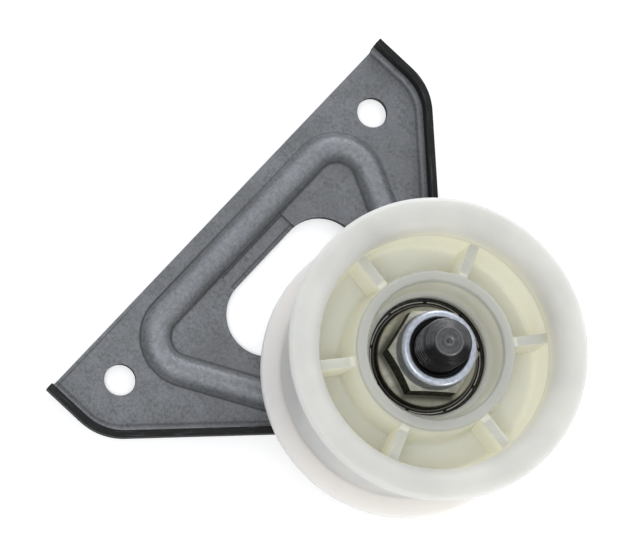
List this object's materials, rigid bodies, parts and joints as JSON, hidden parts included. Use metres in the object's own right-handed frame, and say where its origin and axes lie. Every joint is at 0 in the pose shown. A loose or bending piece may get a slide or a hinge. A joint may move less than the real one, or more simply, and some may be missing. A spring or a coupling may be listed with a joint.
{
  "type": "belt idler pulley",
  "caption": "Flanged white nylon idler wheel on a ball bearing, held by a lock nut on a stud of a triangular pressed steel bracket.",
  "frame": {"origin": "point where the wheel's axis meets the plane of the bracket's flat back", "axes": "+Z along the wheel's axis, from the bracket to the lock nut; +X from the axis to the middle of the bracket's long plain edge; +Y along that edge"},
  "size_m": [0.0815, 0.1046, 0.0501],
  "materials": {
    "galvanised_sheet": "galvanised steel sheet, dull grey with faint spangle",
    "oiled_steel": "dark oiled steel with a cut thread",
    "turned_steel": "fine turned steel",
    "natural_nylon": "natural unfilled nylon, slightly translucent, satin",
    "bearing_steel": "ground bearing steel",
    "ball_steel": "polished bearing steel",
    "cage_steel": "pressed thin steel",
    "shield_steel": "pressed thin steel, dark",
    "zinc_plate": "bright zinc plate",
    "black_nylon": "black nylon"
  },
  "bodies": {
    "frame": {"bracket": "galvanised_sheet", "axle_stud": "oiled_steel", "spacer_sleeve": "turned_steel", "bearing_inner_ring": "bearing_steel", "flange_nut": "zinc_plate", "nut_locking_ring": "black_nylon"},
    "pulley": {"pulley_wheel": "natural_nylon", "bearing_outer_ring": "bearing_steel", "front_shield": "shield_steel", "rear_shield": "shield_steel"},
    "ball_set": {"bearing_ball_1": "ball_steel", "bearing_ball_2": "ball_steel", "bearing_ball_3": "ball_steel", "bearing_ball_4": "ball_steel", "bearing_ball_5": "ball_steel", "bearing_ball_6": "ball_steel", "bearing_ball_7": "ball_steel", "cage_half_front": "cage_steel", "cage_half_rear": "cage_steel", "cage_rivets": "cage_steel"}
  },
  "joints": [
    {"name": "pulley_spin", "type": "hinge", "parent": "frame", "child": "pulley", "pos_m": [0, 0, 0.0259], "axis": [0, 0, 1], "continuous": true},
    {"name": "cage_spin", "type": "hinge", "parent": "frame", "child": "ball_set", "pos_m": [0, 0, 0.0259], "axis": [0, 0, 1], "continuous": true}
  ],
  "couplings": [
    {"joint": "cage_spin", "follows": "pulley_spin", "ratio": 0.6323}
  ]
}
